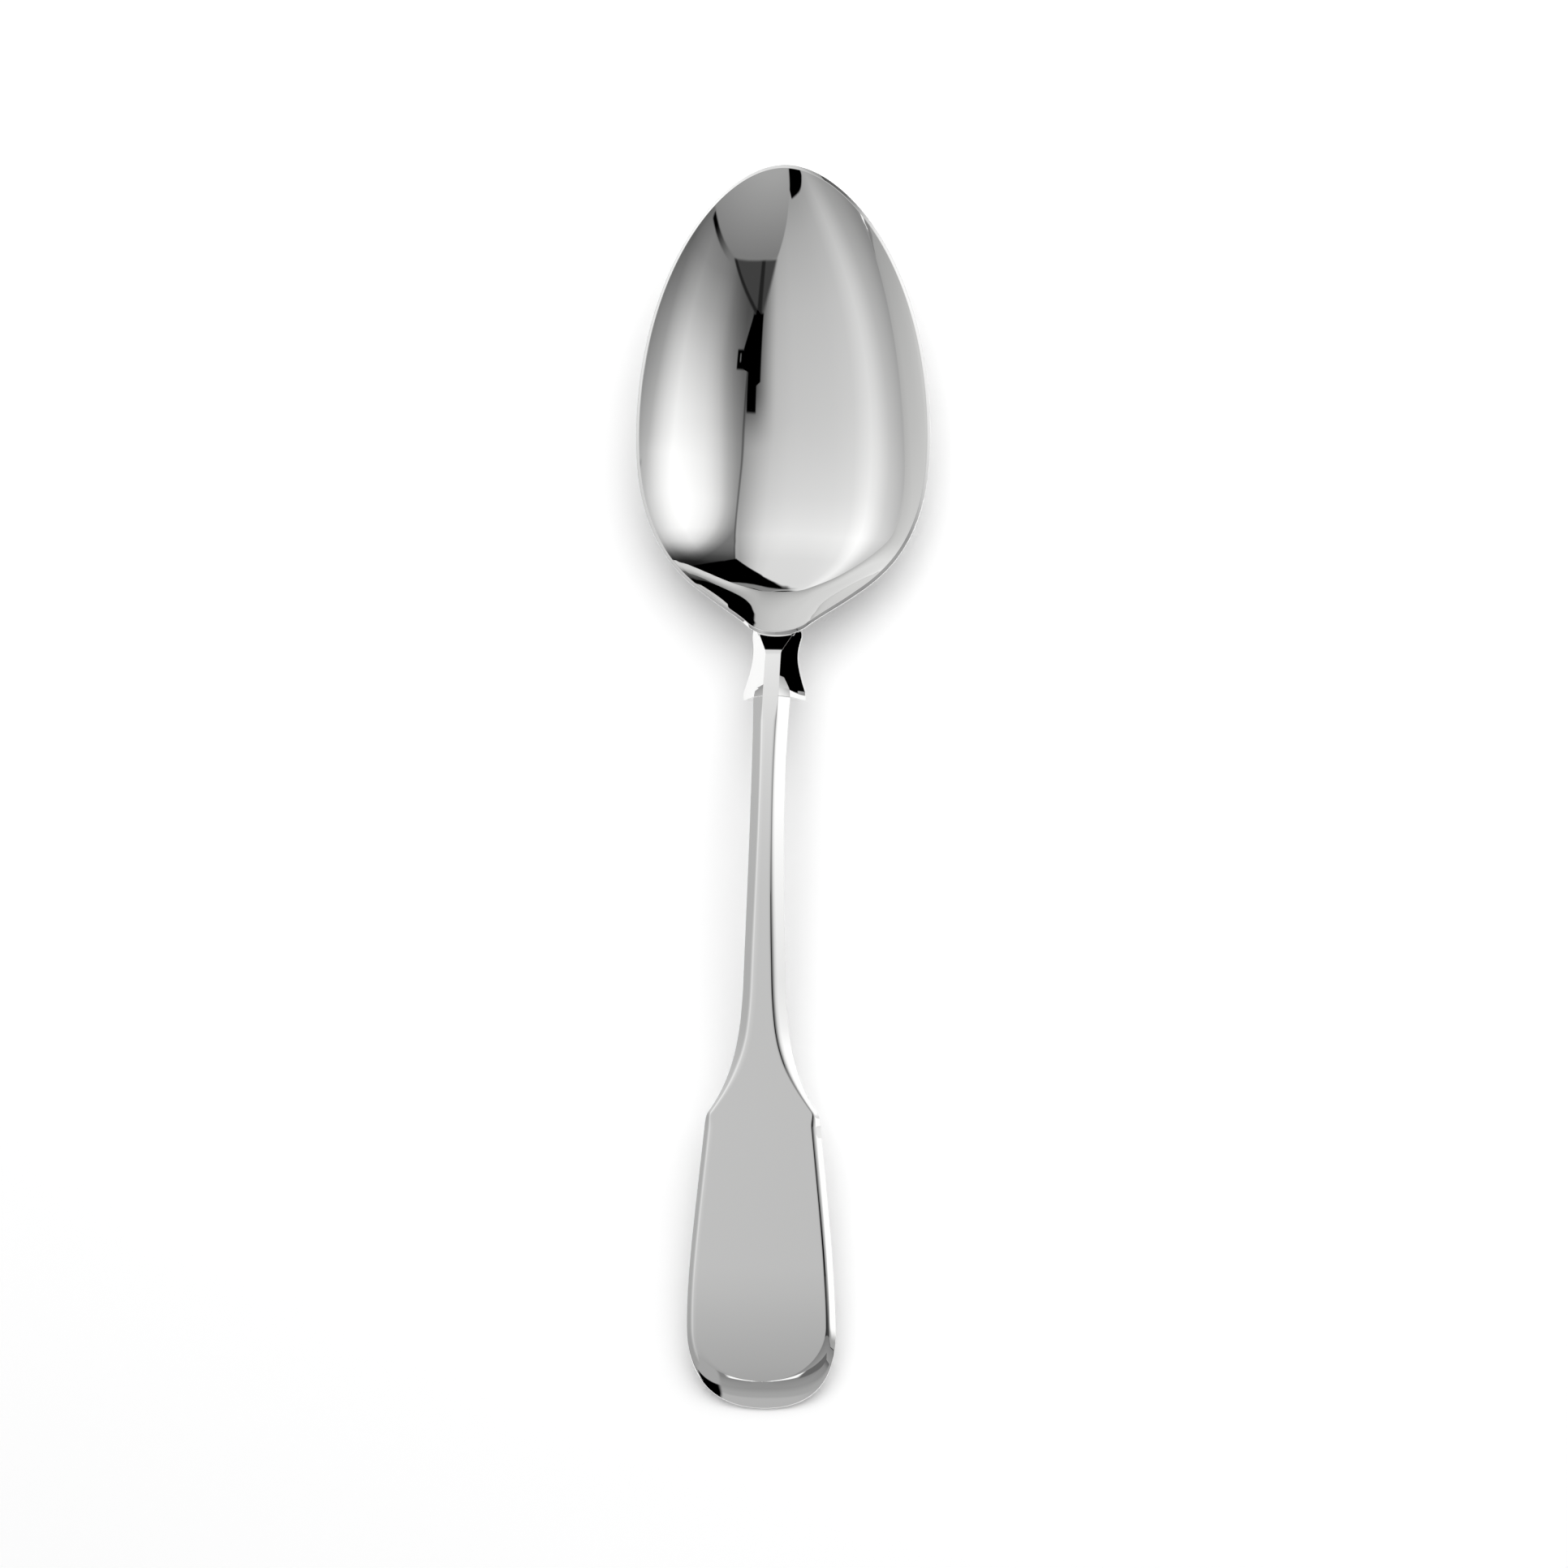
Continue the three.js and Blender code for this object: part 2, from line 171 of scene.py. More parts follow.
def facedOut(mesh):  # turns the faces of a closed skin outwards, and counts its open edges
    shape = bmesh.new()
    shape.from_mesh(mesh)
    bmesh.ops.remove_doubles(shape, verts=shape.verts, dist=tiny)
    bmesh.ops.dissolve_degenerate(shape, edges=shape.edges, dist=tiny / 10)
    bmesh.ops.recalc_face_normals(shape, faces=shape.faces)
    shape.to_mesh(mesh)
    openEdges = sum(1 for edge in shape.edges if len(edge.link_faces) != 2)
    shape.free()
    mesh.shade_smooth()
    return openEdges


def bareMaterial(name):
    material = bpy.data.materials.new(name)
    material.use_nodes = True
    material.node_tree.nodes.clear()
    return material, material.node_tree


# Polished silver

silver = {
    "colour": (0.90, 0.90, 0.895, 1.0),
    "roughness": (0.006, 0.02),  # from the best polished places to the handled ones
    "clouds": 60.0, "cloudDetail": 4.0,
}


def silverMaterial():
    material, tree = bareMaterial("polishedSilver")
    place = Wire.add(tree, "ShaderNodeTexCoord", output="Object")
    clouds = Wire.add(tree, "ShaderNodeTexNoise", {}, {
        "Vector": place, "Scale": silver["clouds"], "Detail": silver["cloudDetail"],
    })
    best, worst = silver["roughness"]
    surface = Wire.add(tree, "ShaderNodeBsdfPrincipled", {}, {
        "Base Color": silver["colour"],
        "Metallic": 1.0,
        "Roughness": best + clouds * (worst - best),
    })
    Wire.add(tree, "ShaderNodeOutputMaterial", {}, {"Surface": surface})
    return material


silverLook = silverMaterial()

# Places along the spoon

lengths = {
    "bowl": 79.9, "neck": 11.1, "stem": 48.0, "flare": 22.4,
    "shoulder": 2.8, "blade": 33.4, "end": 12.6,
}
tipY = sum(lengths.values()) / 2
lipY = tipY - lengths["bowl"]
poleY = (tipY + lipY) / 2
earY = lipY - lengths["neck"]
stemEndY = earY - lengths["stem"]
flareEndY = stemEndY - lengths["flare"]
bladeY = flareEndY - lengths["shoulder"]
bladeEndY = bladeY - lengths["blade"]
endY = bladeEndY - lengths["end"]

# Bowl

bowl = {
    "width": 50.4, "widestFromNeck": 34.5, "depth": 11.0, "wall": 1.5,
    "rimLand": 0.55, "rimEdge": 0.7, "rimRound": 0.15, "rimTilt": 24.0, "rimCrisp": 0.04,
    "steepness": 0.25, "pitch": 9.0, "rimFade": 2.0, "lipFade": 8.0,
    "spoutLength": 4.0, "spoutFade": 6.0, "spoutTurn": 1.5, "baseSquare": 0.3,
    "shoulderWidth": 26.6, "shoulderReach": 7.9,
    "lipWidth": 10.8, "lipReach": 2.0, "lipLift": 6.6, "lipSweep": 17.0,
    "rimCurves": (  # from the tip to the lip: how many points, and two handles
        (64, (0.44, 0), (1, 0.4)), (44, (0, 0.42), (0.23, 0.75)),
        (28, (0.41, 0.43), (0.74, 0.69)), (22, (0.2, 0.55), (0.52, 1)),
    ),
    "rings": 44, "rimRings": [0.985, 0.995, 0.998, 1.0], "rimRoundSteps": 6,
}
rimHalf = bowl["width"] / 2
pitchSlope = math.tan(math.radians(bowl["pitch"]))


def rimOutline():  # the whole rim from above, from the tip by the right side to the lip and back
    corners = (
        (0, tipY),
        (rimHalf, lipY + bowl["widestFromNeck"]),
        (bowl["shoulderWidth"] / 2, lipY + bowl["shoulderReach"]),
        (bowl["lipWidth"] / 2, lipY + bowl["lipReach"]),
        (0, lipY),
    )
    right = [Vector(corners[0])]
    for start, stop, (count, *handles) in zip(corners, corners[1:], bowl["rimCurves"]):
        curve = curveBetween(start, stop, handles)
        right += [bezier(curve, t) for t in steps(count)[1:]]
    left = [Vector((-p.x, p.y)) for p in reversed(right[1:-1])]
    return [(p.x, p.y, 0) for p in right + left]


def wallSection():  # out from the back's pole, over the rim, and in to the inside's pole
    shares = steps(bowl["rings"])[:-1] + bowl["rimRings"]
    corner, edge, land, crisp = bowl["rimRound"], bowl["rimEdge"], bowl["rimLand"], bowl["rimCrisp"]
    tilt = math.radians(bowl["rimTilt"])  # the land falls outwards
    turned = math.pi / 2 - tilt
    foot = -land * math.tan(tilt) - corner * math.tan(turned / 2)
    angles = [turned * t for t in steps(bowl["rimRoundSteps"])]
    rimPath = [(corner * (math.cos(angle) - 1), foot + corner * math.sin(angle)) for angle in angles]
    rimPath.append((crisp - land, -crisp * math.tan(tilt)))
    points = [(s, 0, -edge) for s in shares]
    points += [(1, out, up) for out, up in rimPath]
    points += [(s, -land, 0) for s in reversed(shares)]
    backDepth = bowl["depth"] + bowl["wall"] - edge
    depths = [backDepth] * len(shares) + [bowl["depth"]] * (len(points) - len(shares))
    return [(s / mm, out, up) for s, out, up in points], depths


def bowlTree(inputNames, rimCount, sectionCount):  # sweeps the section round the rim as a grid
    tree = bpy.data.node_groups.new("bowlSweep", "GeometryNodeTree")
    kinds = {"Rim": "Object", "Section": "Object", "Silver": "Material"}
    ids = {}
    for name in inputNames:
        kind = "NodeSocket" + kinds.get(name, "Float")
        ids[name] = tree.interface.new_socket(name, in_out="INPUT", socket_type=kind).identifier
    tree.interface.new_socket("Geometry", in_out="OUTPUT", socket_type="NodeSocketGeometry")
    inputs = tree.nodes.new("NodeGroupInput")
    given = {socket.name: Wire(tree, socket) for socket in inputs.outputs if socket.name}

    def add(kind, settings=None, sockets=None, output=0):
        return Wire.add(tree, kind, settings, sockets, output)

    def parts(vector):
        return [add("ShaderNodeSeparateXYZ", {}, {"Vector": vector}, axis) for axis in "XYZ"]

    def sample(points, value, index, kind):
        return add("GeometryNodeSampleIndex", {"data_type": kind}, {
            "Geometry": points, "Value": value, "Index": index,
        })

    grid = add("GeometryNodeMeshGrid", {}, {
        "Size X": float(rimCount), "Size Y": float(sectionCount - 1),
        "Vertices X": rimCount + 1, "Vertices Y": sectionCount,
    }, "Mesh")
    place = add("GeometryNodeInputPosition")
    across, along, _ = parts(place)
    nudge = 0.25  # keeps an index clear of rounding down to the one before
    column = (across + (rimCount / 2 + nudge)) % rimCount
    row = along + ((sectionCount - 1) / 2 + nudge)
    rim = add("GeometryNodeObjectInfo", {}, {"Object": given["Rim"]}, "Geometry")
    section = add("GeometryNodeObjectInfo", {}, {"Object": given["Section"]}, "Geometry")
    rimX, rimY, _ = parts(sample(rim, place, column, "FLOAT_VECTOR"))
    share, out, up = parts(sample(section, place, row, "FLOAT_VECTOR"))
    sectionDepth = add("GeometryNodeInputNamedAttribute", {"data_type": "FLOAT"}, {"Name": "depth"})
    depth = sample(section, sectionDepth, row, "FLOAT")

    ahead = rimY - given["Pole Y"]
    reach = (rimX**2 + ahead**2) ** 0.5
    sideShare = rimX / reach
    aheadShare = ahead / reach
    towardsLip = (0 - aheadShare).atLeast(0) ** given["Spout Turn"]
    power = 2 + given["Base Square"] * towardsLip
    hollowLength = given["Half Length"] - given["Spout Length"] * towardsLip
    sidePart = (abs(sideShare) / given["Half Width"]) ** power
    aheadPart = (abs(aheadShare) / hollowLength) ** power
    rounded = (sidePart + aheadPart) ** (-1 / power)
    fade = given["Rim Fade"] + given["Spout Fade"] * towardsLip
    sweep = (given["Lip Y"] + given["Lip Sweep"] - rimY) / given["Lip Sweep"]
    lift = given["Lip Lift"] * sweep.atLeast(0) ** 2
    far = share * (rounded + (reach + out - rounded) * share**fade)
    hollow = 1 - ((1 - given["Steepness"]) * share**2 + given["Steepness"] * share**4)
    pitched = given["Pitch Slope"] * far * aheadShare
    height = pitched - depth * hollow + lift * share ** given["Lip Fade"] + up
    spot = add("ShaderNodeCombineXYZ", {}, {
        "X": far * sideShare, "Y": given["Pole Y"] + far * aheadShare, "Z": height,
    })
    swept = add("GeometryNodeSetPosition", {}, {"Geometry": grid, "Position": spot})
    closed = add("GeometryNodeMergeByDistance", {}, {"Geometry": swept, "Distance": tiny})
    smooth = add("GeometryNodeSetShadeSmooth", {}, {"Geometry": closed})
    real = add("GeometryNodeRealizeInstances", {}, {"Geometry": smooth})
    look = add("GeometryNodeSetMaterial", {}, {"Geometry": real, "Material": given["Silver"]})
    add("NodeGroupOutput", {}, {"Geometry": look})
    return tree, ids


def makeBowl():
    rim = rimOutline()
    section, depths = wallSection()
    rimObject = pointsMesh("rimPoints", rim)
    sectionObject = pointsMesh("sectionPoints", section, depths)
    sizes = {
        "Rim": rimObject, "Section": sectionObject, "Silver": silverLook,
        "Pole Y": poleY * mm, "Half Width": rimHalf * mm, "Half Length": lengths["bowl"] / 2 * mm,
        "Pitch Slope": pitchSlope, "Steepness": bowl["steepness"],
        "Lip Y": lipY * mm, "Lip Lift": bowl["lipLift"] * mm, "Lip Sweep": bowl["lipSweep"] * mm,
        "Rim Fade": bowl["rimFade"], "Lip Fade": bowl["lipFade"],
        "Spout Length": bowl["spoutLength"] * mm, "Spout Fade": bowl["spoutFade"],
        "Spout Turn": bowl["spoutTurn"], "Base Square": bowl["baseSquare"],
    }
    tree, ids = bowlTree(sizes, len(rim), len(section))
    piece = addObject("bowl_skin", bpy.data.meshes.new("bowl_skin"))
    modifier = piece.modifiers.new("sweep", "NODES")
    modifier.node_group = tree
    for name, value in sizes.items():
        modifier[ids[name]] = value
    graph = bpy.context.evaluated_depsgraph_get()
    mesh = bpy.data.meshes.new_from_object(piece.evaluated_get(graph), depsgraph=graph)
    piece.modifiers.clear()
    piece.data = mesh
    mesh.name = "bowl_skin"
    for helper in (rimObject, sectionObject):
        bpy.data.objects.remove(helper)
    lowest = min(vertex.co.z for vertex in mesh.vertices)
    mesh.transform(Matrix.Translation((0, 0, -lowest)))  # on to the table
    openEdges = facedOut(mesh)
    print("bowl:", len(mesh.polygons), "faces,", openEdges, "open edges")
    return piece, -lowest / mm


bowlPiece, rimHeight = makeBowl()
bowlSkin = BVHTree.FromPolygons(
    [vertex.co / mm for vertex in bowlPiece.data.vertices],
    [polygon.vertices for polygon in bowlPiece.data.polygons],
)

# Handle

handle = {
    "neckWidth": 7.8, "neckFlat": 2.6, "neckRise": 2.1, "neckSlopeLength": 3.3, "neckThickness": 5.6,
    "neckBevelAngle": 47.0, "neckRidge": 0.15, "lipStep": 0.2, "slopeRound": 0.5,
    "lipSpread": 1.11, "neckWaist": (0.93, (0.3, 0.5)),  # shares of the neck's width, and the waist's run
    "earWidth": 10.7, "earChamfer": 1.4, "earChamferFall": 0.7,
    "facetLength": 2.4, "facetWidth": 1.6, "facetFall": 1.35,
    "stemWidth": 6.4, "stemWaist": 5.9, "stemEndWidth": 7.2, "stemThickness": 4.1, "stemBevel": 1.85,
    "stemArch": 0.21, "stemPull": 0.03,
    "stemHandles": ((0.4, 0.3), (0.5, 0.7)),  # shares of the waist, and of the way along
    "flareWidth": 18.4, "flareHandles": ((0.05, 0.46), (0.33, 0.77)),
    "shoulderWidth": 19.9, "shoulderBevel": 0.65, "shoulderHandles": ((0.55, 0.22), (0.86, 0.5)),
    "bladeWidth": 25.4, "bladeThickness": 2.7, "bladeBevel": 1.15, "bladeSlope": 0.13, "bendLead": 10.0,
    "bladeHandles": ((0.4, 0.33), (1, 0.72)),
    "endBevel": 4.0, "endBulge": 0.4, "endEdge": 0.5, "endSlope": 0.5, "endRidge": 0.5,
    "endRoll": 9.0, "rollOpens": 0.6, "endHandles": ((0, 0.7), (0.37, 1)),
    "bevelAngle": 35.5, "ridge": 0.94, "backEdge": 0.8, "backCrown": 0.45,
    "sideIn": 0.3, "sideDown": 0.55,  # where the side's corner lies between the edge and the back's corner
    "dropLength": 12.5, "dropWidth": 8.4, "dropRootHeight": 3.2, "dropTipHeight": 0.9, "dropTurn": 0.5,
    "dropTops": (0.5, 0.8), "dropSides": (0.92, 0.68),  # shares of the drop's half width
    "rounds": (0.08, 0.3, 0.3, 0.5, 0.5),  # crease, ridge, edge, side and back corner
    "stemRound": 2.2, "endRound": 4.0,  # the crease along the stem and blade, and at the end
    "roundSteps": 6, "faceSteps": 4, "backSteps": 6, "faceMargin": 0.02,
    "dropRings": 30, "neckRings": 90, "endRings": 80, "earRings": [0.03, 0.5, 0.97],
}
bevelFall = math.tan(math.radians(handle["bevelAngle"]))
neckBevelFall = math.tan(math.radians(handle["neckBevelAngle"]))
facetLift = handle["facetWidth"] * neckBevelFall - handle["facetFall"]  # how far the facet raises the bevel
lipHeight = rimHeight + pitchSlope * (lipY - poleY) + bowl["lipLift"]
neckTopY = lipY - handle["neckSlopeLength"]
neckTop = lipHeight + handle["neckRise"]
lipHalf = handle["lipSpread"] * handle["neckWidth"] / 2
lipEdge = (neckTop - handle["stemArch"] * handle["neckSlopeLength"]
           - (lipHalf - handle["neckFlat"] / 2) * neckBevelFall)
bendY = bladeEndY + handle["bendLead"]
bend = (handle["endSlope"] - handle["bladeSlope"]) / (2 * (bendY - endY))
restRun = bendY - endY - handle["backEdge"]  # from the bend to where the end rests on the table
bendTop = handle["bladeThickness"] + handle["bladeSlope"] * restRun + bend * restRun**2
flareTop = bendTop + handle["bladeSlope"] * (flareEndY - bendY)
archRun = (neckTopY - flareEndY) / 3
arch = (
    (neckTopY, neckTop), (neckTopY - archRun, neckTop + handle["stemArch"] * archRun),
    (flareEndY + archRun, flareTop + handle["bladeSlope"] * archRun), (flareEndY, flareTop),
)


def archHeight(y):  # the arch's run along Y is even, so its share is a straight ratio
    return bezier(arch, (neckTopY - y) / (neckTopY - flareEndY)).y


def levelAt(y):  # the top's middle line without the scoop behind the lip
    if y <= flareEndY:
        return bendTop + handle["bladeSlope"] * (y - bendY) - bend * max(bendY - y, 0) ** 2
    return archHeight(y) if y < neckTopY else neckTop - handle["stemArch"] * (y - neckTopY)


def scoopAt(y):
    steep = (handle["neckRise"] + handle["lipStep"]) / handle["neckSlopeLength"] - handle["stemArch"]
    return steep * softRamp(y - neckTopY, handle["slopeRound"])


def topHeight(y):
    return levelAt(y) - scoopAt(y)


def thicknessAt(y):
    blade = lerp(handle["bladeThickness"], handle["stemThickness"], ease(y, flareEndY, stemEndY))
    return lerp(blade, handle["neckThickness"], ease(y, earY - lengths["stem"] / 3, neckTopY))


def crownAt(y):
    return handle["backCrown"] * ease(y, flareEndY, stemEndY)


def halfOf(crease, ridge, edge, backCorner, crown):  # right half of a section, from the top to the back
    side = edge.lerp(backCorner, handle["sideIn"])
    side.z = lerp(edge.z, backCorner.z, handle["sideDown"])
    top = Vector((0, crease.y, crease.z))
    back = Vector((0, backCorner.y, backCorner.z - crown))
    return [top, crease, ridge, edge, side, backCorner, back]


def halfAt(width, y):
    return handle[width] / 2, y


def stemSide():
    waist, pull = handle["stemWaist"], handle["stemPull"] * handle["stemWidth"]
    pulled = [(share * waist + pull, lerp(earY, stemEndY, t)) for share, t in handle["stemHandles"]]
    return (halfAt("stemWidth", earY), *pulled, halfAt("stemEndWidth", stemEndY))


flareStart, flareStop = halfAt("stemEndWidth", stemEndY), halfAt("flareWidth", flareEndY)
bladeStart, bladeStop = halfAt("shoulderWidth", bladeY), halfAt("bladeWidth", bladeEndY)
settled = (-1, 0)  # an ease between these is over where a stretch starts

# From the ears to the end, with the shares over which a bevel keeps its width, turns square and opens
stretches = (
    {"side": stemSide(), "rings": 60, "starts": [0, 0.002],
     "bevels": ("stemBevel", "stemBevel"), "hold": 0.0, "turns": (0, 0.2), "opens": (0, 0.15)},
    {"side": curveBetween(flareStart, flareStop, handle["flareHandles"]), "rings": 60, "starts": [],
     "bevels": ("stemBevel", "shoulderBevel"), "hold": 0.3, "turns": settled, "opens": settled},
    {"side": curveBetween(flareStop, bladeStart, handle["shoulderHandles"]), "rings": 20, "starts": [],
     "bevels": ("shoulderBevel", "bladeBevel"), "hold": 0.0, "turns": settled, "opens": settled},
    {"side": curveBetween(bladeStart, bladeStop, handle["bladeHandles"]), "rings": 40, "starts": [],
     "bevels": ("bladeBevel", "bladeBevel"), "hold": 0.0, "turns": settled, "opens": settled},
)


def sideHalf(stretch, t):
    place = bezier(stretch["side"], t)
    tangent = bezierTangent(stretch["side"], t)
    tangent.x *= ease(t, *stretch["turns"])
    first, last = (handle[bevel] for bevel in stretch["bevels"])
    width = lerp(first, last, ease(t, stretch["hold"], 1))

    def inset(size):
        y = place.y - tangent.x * size
        return Vector((place.x + tangent.y * size, y, topHeight(y)))

    crease = inset(width)
    edge = inset(0)
    edge.z -= width * bevelFall
    backCorner = inset(handle["backEdge"])
    crown = crownAt(backCorner.y)
    backCorner.z -= thicknessAt(backCorner.y) - crown
    return halfOf(crease, crease.lerp(edge, handle["ridge"]), edge, backCorner, crown)


def endHalf(t):  # edge, crease and back corner are one curve at three sizes
    def placeOn(half, y):
        spot = bezier(curveBetween((half, bladeEndY), (0, y), handle["endHandles"]), t)
        return Vector((spot.x, spot.y, topHeight(spot.y)))

    bladeHalf = handle["bladeWidth"] / 2
    rounding = ease(t, 0, 1)
    crease = placeOn(bladeHalf - handle["bladeBevel"], endY + handle["endBevel"])
    edge = placeOn(bladeHalf, endY)
    backCorner = placeOn(bladeHalf - handle["backEdge"], endY + handle["backEdge"])
    backCorner.z -= handle["bladeThickness"]
    edge.z = lerp(edge.z - handle["bladeBevel"] * bevelFall, backCorner.z + handle["endEdge"], rounding)
    ridge = crease.lerp(edge, lerp(handle["ridge"], handle["endRidge"], rounding))
    ridge.z += handle["endBulge"] * rounding
    return halfOf(crease, ridge, edge, backCorner, 0)


earTopY = earY + handle["earChamfer"]
creaseHalf = handle["stemWidth"] / 2 - handle["stemBevel"]
waistShare, waistRun = handle["neckWaist"]
neckSide = (
    (lipHalf, lipY),
    *((waistShare * handle["neckWidth"] / 2, lerp(lipY, earTopY, t)) for t in waistRun),
    halfAt("earWidth", earTopY),
)


def neckHalf(t):
    x, y = bezier(neckSide, t)
    slope = min(softRamp(y - neckTopY, handle["slopeRound"]) / handle["neckSlopeLength"], 1)
    facet = clamp((earTopY + handle["facetLength"] - y) / handle["facetLength"])
    flatHalf = lerp(creaseHalf, handle["neckFlat"] / 2, ease(y, earY, earTopY + handle["facetLength"]))
    top = levelAt(y)
    creaseX = min(flatHalf + scoopAt(y) / neckBevelFall, 0.95 * x)  # the scoop never cuts through the side
    crease = Vector((creaseX, y, topHeight(y)))
    edge = Vector((x, y, top - (x - flatHalf) * neckBevelFall + facet * facetLift))
    opened = crease + Vector((handle["facetWidth"], 0, -handle["facetFall"]))
    ridge = crease.lerp(edge, handle["neckRidge"]).lerp(opened, facet)
    backZ = lerp(top - thicknessAt(y), lipHeight - handle["dropRootHeight"], slope**1.5)
    crown = handle["backCrown"]
    return halfOf(crease, ridge, edge, Vector((x - handle["backEdge"], y, backZ + crown)), crown)


def earEndHalf():
    crown = handle["backCrown"]
    crease = Vector((creaseHalf, earY, topHeight(earY)))
    out = handle["ridge"] * handle["stemBevel"]
    ridge = crease + Vector((out, 0, -out * bevelFall))
    earHalf = handle["earWidth"] / 2
    earFall = (earHalf - creaseHalf) * neckBevelFall - facetLift + handle["earChamferFall"]
    edge = Vector((earHalf, earY, crease.z - earFall))
    backCorner = Vector((earHalf - handle["backEdge"], earY, crease.z - thicknessAt(earY) + crown))
    return halfOf(crease, ridge, edge, backCorner, crown)


def bowlBackAt(x, y):  # height of the bowl's back, found from under the table
    hit = bowlSkin.ray_cast(Vector((x, y, -5)), Vector((0, 0, 1)))[0]
    return hit.z if hit else lipEdge


def dropHalf(share):  # a tongue under the bowl that turns round and ends in a low step
    y = lipY + share * handle["dropLength"]
    half = handle["dropWidth"] / 2 * math.sqrt(1 - share**2)
    height = lerp(handle["dropTipHeight"], handle["dropRootHeight"], (1 - share) ** 1.5)
    height *= math.sqrt(1 - share**8)
    middle = bowlBackAt(0, y)
    low = middle - height
    turned = ease(share, 0, handle["dropTurn"])
    inWall = bowl["wall"] / 2
    edge = Vector((half, y, min(lerp(lipEdge, bowlBackAt(half, y) + inWall, turned), lipEdge)))

    def under(part, inset, rise):
        rounded = Vector((part * half, y, lerp(edge.z, low, math.sqrt(1 - part**2))))
        square = Vector((max(half - inset, 0), y, lerp(low + handle["backCrown"], edge.z, rise)))
        return square.lerp(rounded, turned)

    tops = [Vector((part * half, y, middle + inWall)) for part in (0, *handle["dropTops"])]
    sidePart, cornerPart = handle["dropSides"]
    side = under(sidePart, handle["sideIn"] * handle["backEdge"], 1 - handle["sideDown"])
    return [*tops, edge, side, under(cornerPart, handle["backEdge"], 0), Vector((0, y, low))]


def betweenHalves(first, second, t):
    return [a.lerp(b, t) for a, b in zip(first, second)]


def straightRun(a, b):  # points from a to b, with one close to each end that keeps the face flat
    length = (b - a).length
    most = 0.2  # of the length
    near = min(handle["faceMargin"], most * length) / length if length > tiny else most
    return [a.lerp(b, t) for t in [near] + steps(handle["faceSteps"])[1:-1] + [1 - near]]


def roundedRing(half, rounds):  # rounds the corners of a half section, then mirrors it
    line = [half[0]]
    previous = half[0]
    most = 0.45  # of a face that a round may take at either end
    for corner, after, radius in zip(half[1:-1], half[2:], rounds):
        back = previous - corner
        ahead = after - corner
        turn = math.pi - back.angle(ahead) if back.length > tiny and ahead.length > tiny else 0
        cut = min(radius * math.tan(turn / 2), most * back.length, most * ahead.length)
        start = corner + back.normalized() * cut
        stop = corner + ahead.normalized() * cut
        line += straightRun(line[-1], start)
        for t in steps(handle["roundSteps"]):
            line.append(start.lerp(corner, t).lerp(corner.lerp(stop, t), t))
        previous = corner
    foot, middle = line[-1], half[-1]
    for t in steps(handle["backSteps"])[1:]:  # the back is crowned
        across = foot.lerp(middle, t)
        line.append(Vector((across.x, across.y, lerp(foot.z, middle.z, 1 - (1 - t) ** 2))))
    return line + [Vector((-p.x, p.y, p.z)) for p in reversed(line[1:-1])]


def handleRings():
    crease, ridge, *lower = handle["rounds"]
    halves = [dropHalf(1 - t**2) for t in steps(handle["dropRings"])[:-1]]
    halves += [neckHalf(t) for t in steps(handle["neckRings"])]
    earTop, earEnd, stemStart = halves[-1], earEndHalf(), sideHalf(stretches[0], 0)
    halves += [betweenHalves(earTop, earEnd, t) for t in handle["earRings"] + [1]]
    halves += [betweenHalves(earEnd, stemStart, t) for t in handle["earRings"]]
    rings = [roundedRing(half, handle["rounds"]) for half in halves]
    for stretch in stretches:
        for t in stretch["starts"] + steps(stretch["rings"])[1:]:
            creaseRound = lerp(crease, handle["stemRound"], ease(t, *stretch["opens"]))
            rings.append(roundedRing(sideHalf(stretch, t), (creaseRound, ridge, *lower)))
    for t in steps(handle["endRings"])[1:]:  # towards the end, the break in the bevel opens into a roll
        creaseRound = lerp(handle["stemRound"], handle["endRound"], t)
        rollRound = lerp(ridge, handle["endRoll"], ease(t, 0, handle["rollOpens"]))
        rings.append(roundedRing(endHalf(t), (creaseRound, rollRound, *lower)))
    return rings


def makeHandle():
    rings = handleRings()
    count = len(rings[0])
    faces = []
    for i in range(len(rings) - 1):
        for j in range(count):
            k = (j + 1) % count
            faces.append((i * count + j, (i + 1) * count + j, (i + 1) * count + k, i * count + k))
    mesh = bpy.data.meshes.new("handle_skin")
    mesh.from_pydata([p * mm for ring in rings for p in ring], [], faces)
    openEdges = facedOut(mesh)
    mesh.materials.append(silverLook)
    print("handle:", len(mesh.polygons), "faces,", openEdges, "open edges")
    return addObject("handle_skin", mesh)


handlePiece = makeHandle()

for piece, node in ((bowlPiece, "bowl"), (handlePiece, "handle")):
    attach(piece, "root")
    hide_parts(node)

# Studio: a white floor under a light tent that only reflections show, and one soft lamp

studio = {  # metres and watts
    "floorSize": 8.0, "floorColour": (0.92, 0.92, 0.92, 1.0), "floorLift": 0.05, "floorGap": 0.00005,
    "ambient": 0.42,
    "lampSize": 1.5, "lampPlace": (0.2, 0.5, 1.15), "lampEnergy": 16.0,
}


def seenRays(tree):  # 1 for what the camera sees, also in metal and through glass
    outputs = ("Is Camera Ray", "Is Glossy Ray", "Is Transmission Ray")
    direct, mirrored, through = (Wire.add(tree, "ShaderNodeLightPath", output=name) for name in outputs)
    return direct.atLeast(mirrored).atLeast(through)


